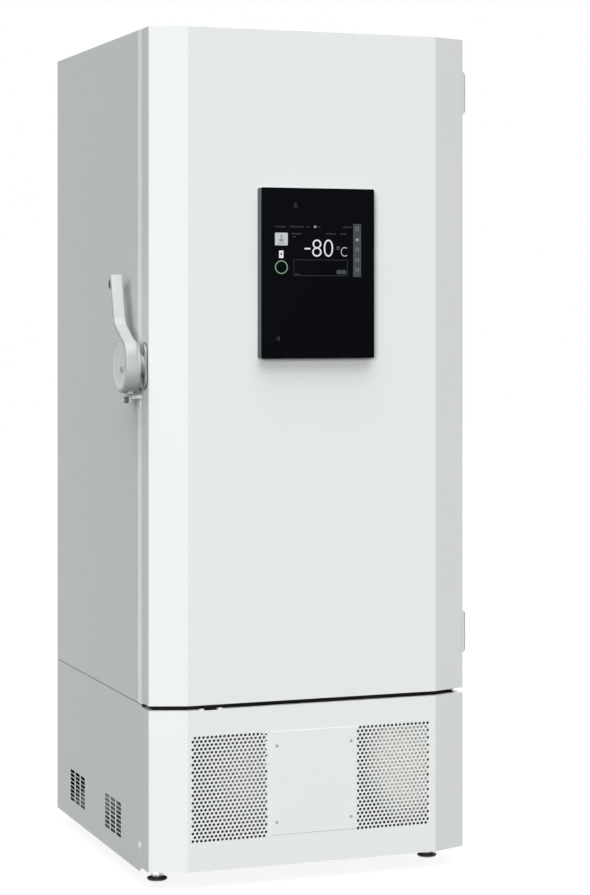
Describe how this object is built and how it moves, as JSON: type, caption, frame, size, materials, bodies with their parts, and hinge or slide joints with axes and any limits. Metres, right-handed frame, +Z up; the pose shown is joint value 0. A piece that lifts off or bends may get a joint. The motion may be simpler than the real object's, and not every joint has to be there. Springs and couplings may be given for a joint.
{
  "type": "ultra low temperature freezer",
  "caption": "Upright ultra low temperature freezer: latched insulated door with display, inner doors, shelves, and a vented machine compartment on feet and casters.",
  "frame": {"origin": "middle of the bounding box's base, on the floor", "axes": "+Z up, the door faces -Y, +X is at the right of someone who faces the door"},
  "size_m": [0.8694, 0.926, 1.993],
  "materials": {
    "white_paint": "satin",
    "side_paint": "satin",
    "frame_plastic": "satin",
    "stainless": "satin",
    "satin_metal": "satin",
    "zinc": "satin",
    "foam": "matte",
    "white_plastic": "satin",
    "grey_plastic": "satin",
    "black_glass": "gloss",
    "dark_rubber": "matte",
    "grey_rubber": "matte",
    "copper": "satin",
    "fins": "satin",
    "filter_mesh": "matte",
    "black_paint": "satin",
    "dark_metal": "satin"
  },
  "bodies": {
    "cabinet": {"cabinet_shell": "side_paint", "front_frame": "frame_plastic", "chamber_liner": "stainless", "cabinet_insulation": "foam", "vacuum_panels": "foam", "evaporator_coils": "copper", "inner_frame": "white_plastic", "shelf_supports": "stainless", "shelves": "stainless", "hinge_brackets": "zinc", "hinge_pins": "zinc", "strike_bracket": "satin_metal", "strike_roller": "dark_rubber", "lower_front_panel": "white_paint", "centre_cover": "white_paint", "cover_screws": "zinc", "side_panel_right": "side_paint", "side_panel_left": "side_paint", "side_plug": "white_plastic", "rear_panel": "side_paint", "power_inlet": "dark_rubber", "rear_spacers": "dark_rubber", "electrical_box": "zinc", "base_pan": "zinc", "base_frame": "zinc", "condensers": "fins", "condenser_filters": "filter_mesh", "fan_mounts": "dark_metal", "compressors": "black_paint", "refrigerant_lines": "copper"},
    "outer_door": {"door_skin": "white_paint", "door_insulation": "foam", "door_liner": "white_plastic", "door_gasket": "grey_rubber", "display_housing": "grey_plastic", "display_glass": "black_glass", "hinge_leaves": "white_paint", "handle_escutcheon": "satin_metal"},
    "latch": {"latch_lever": "satin_metal", "lever_cap": "satin_metal", "lever_bumper": "dark_rubber"},
    "lock": {"lock_barrel": "zinc"},
    "inner_door_upper": {"inner_door_upper": "white_plastic", "inner_gasket_upper": "grey_rubber"},
    "catch_upper": {"inner_catch_upper": "grey_plastic"},
    "inner_door_lower": {"inner_door_lower": "white_plastic", "inner_gasket_lower": "grey_rubber"},
    "catch_lower": {"inner_catch_lower": "grey_plastic"},
    "fan_left": {"fan_left": "grey_plastic"},
    "foot_left": {"levelling_foot_left": "dark_metal"},
    "fan_right": {"fan_right": "grey_plastic"},
    "foot_right": {"levelling_foot_right": "dark_metal"},
    "caster_front_left": {"caster_fork_front_left": "zinc"},
    "wheel_front_left": {"caster_wheel_front_left": "dark_rubber"},
    "caster_front_right": {"caster_fork_front_right": "zinc"},
    "wheel_front_right": {"caster_wheel_front_right": "dark_rubber"},
    "caster_rear_left": {"caster_fork_rear_left": "zinc"},
    "wheel_rear_left": {"caster_wheel_rear_left": "dark_rubber"},
    "caster_rear_right": {"caster_fork_rear_right": "zinc"},
    "wheel_rear_right": {"caster_wheel_rear_right": "dark_rubber"}
  },
  "joints": [
    {"name": "outer_door_hinge", "type": "hinge", "parent": "cabinet", "child": "outer_door", "pos_m": [0.42625, -0.333, 1.21], "axis": [0, 0, 1], "range_deg": [0, 110]},
    {"name": "latch_turn", "type": "hinge", "parent": "outer_door", "child": "latch", "pos_m": [-0.39525, -0.373, 1.21], "axis": [1, 0, 0], "range_deg": [0, 85]},
    {"name": "lock_turn", "type": "hinge", "parent": "latch", "child": "lock", "pos_m": [-0.42875, -0.391, 1.203], "axis": [1, 0, 0], "range_deg": [0, 90]},
    {"name": "inner_door_upper_hinge", "type": "hinge", "parent": "cabinet", "child": "inner_door_upper", "pos_m": [0.33025, -0.3145, 1.554], "axis": [0, 0, 1], "range_deg": [0, 95]},
    {"name": "catch_upper_turn", "type": "hinge", "parent": "inner_door_upper", "child": "catch_upper", "pos_m": [-0.26275, -0.3135, 1.554], "axis": [0, 1, 0], "range_deg": [0, 90]},
    {"name": "inner_door_lower_hinge", "type": "hinge", "parent": "cabinet", "child": "inner_door_lower", "pos_m": [0.33025, -0.3145, 0.856], "axis": [0, 0, 1], "range_deg": [0, 95]},
    {"name": "catch_lower_turn", "type": "hinge", "parent": "inner_door_lower", "child": "catch_lower", "pos_m": [-0.26275, -0.3135, 0.856], "axis": [0, 1, 0], "range_deg": [0, 90]},
    {"name": "fan_left_spin", "type": "hinge", "parent": "cabinet", "child": "fan_left", "pos_m": [-0.18275, -0.356, 0.225], "axis": [0, 1, 0], "continuous": true},
    {"name": "foot_left_screw", "type": "slide", "parent": "cabinet", "child": "foot_left", "axis": [0, 0, 1], "range_m": [-0.01, 0]},
    {"name": "fan_right_spin", "type": "hinge", "parent": "cabinet", "child": "fan_right", "pos_m": [0.22725, -0.356, 0.225], "axis": [0, 1, 0], "continuous": true},
    {"name": "foot_right_screw", "type": "slide", "parent": "cabinet", "child": "foot_right", "axis": [0, 0, 1], "range_m": [-0.01, 0]},
    {"name": "caster_front_left_swivel", "type": "hinge", "parent": "cabinet", "child": "caster_front_left", "pos_m": [-0.26275, -0.228, 0.066], "axis": [0, 0, 1], "continuous": true},
    {"name": "wheel_front_left_spin", "type": "hinge", "parent": "caster_front_left", "child": "wheel_front_left", "pos_m": [-0.26275, -0.21, 0.027], "axis": [1, 0, 0], "continuous": true},
    {"name": "caster_front_right_swivel", "type": "hinge", "parent": "cabinet", "child": "caster_front_right", "pos_m": [0.30725, -0.228, 0.066], "axis": [0, 0, 1], "continuous": true},
    {"name": "wheel_front_right_spin", "type": "hinge", "parent": "caster_front_right", "child": "wheel_front_right", "pos_m": [0.30725, -0.21, 0.027], "axis": [1, 0, 0], "continuous": true},
    {"name": "caster_rear_left_swivel", "type": "hinge", "parent": "cabinet", "child": "caster_rear_left", "pos_m": [-0.26275, 0.367, 0.066], "axis": [0, 0, 1], "continuous": true},
    {"name": "wheel_rear_left_spin", "type": "hinge", "parent": "caster_rear_left", "child": "wheel_rear_left", "pos_m": [-0.26275, 0.385, 0.025], "axis": [1, 0, 0], "continuous": true},
    {"name": "caster_rear_right_swivel", "type": "hinge", "parent": "cabinet", "child": "caster_rear_right", "pos_m": [0.30725, 0.367, 0.066], "axis": [0, 0, 1], "continuous": true},
    {"name": "wheel_rear_right_spin", "type": "hinge", "parent": "caster_rear_right", "child": "wheel_rear_right", "pos_m": [0.30725, 0.385, 0.025], "axis": [1, 0, 0], "continuous": true}
  ],
  "couplings": [
    {"joint": "inner_door_upper_hinge", "follows": "outer_door_hinge", "ratio": 0.85},
    {"joint": "inner_door_lower_hinge", "follows": "outer_door_hinge", "ratio": 0.85}
  ]
}
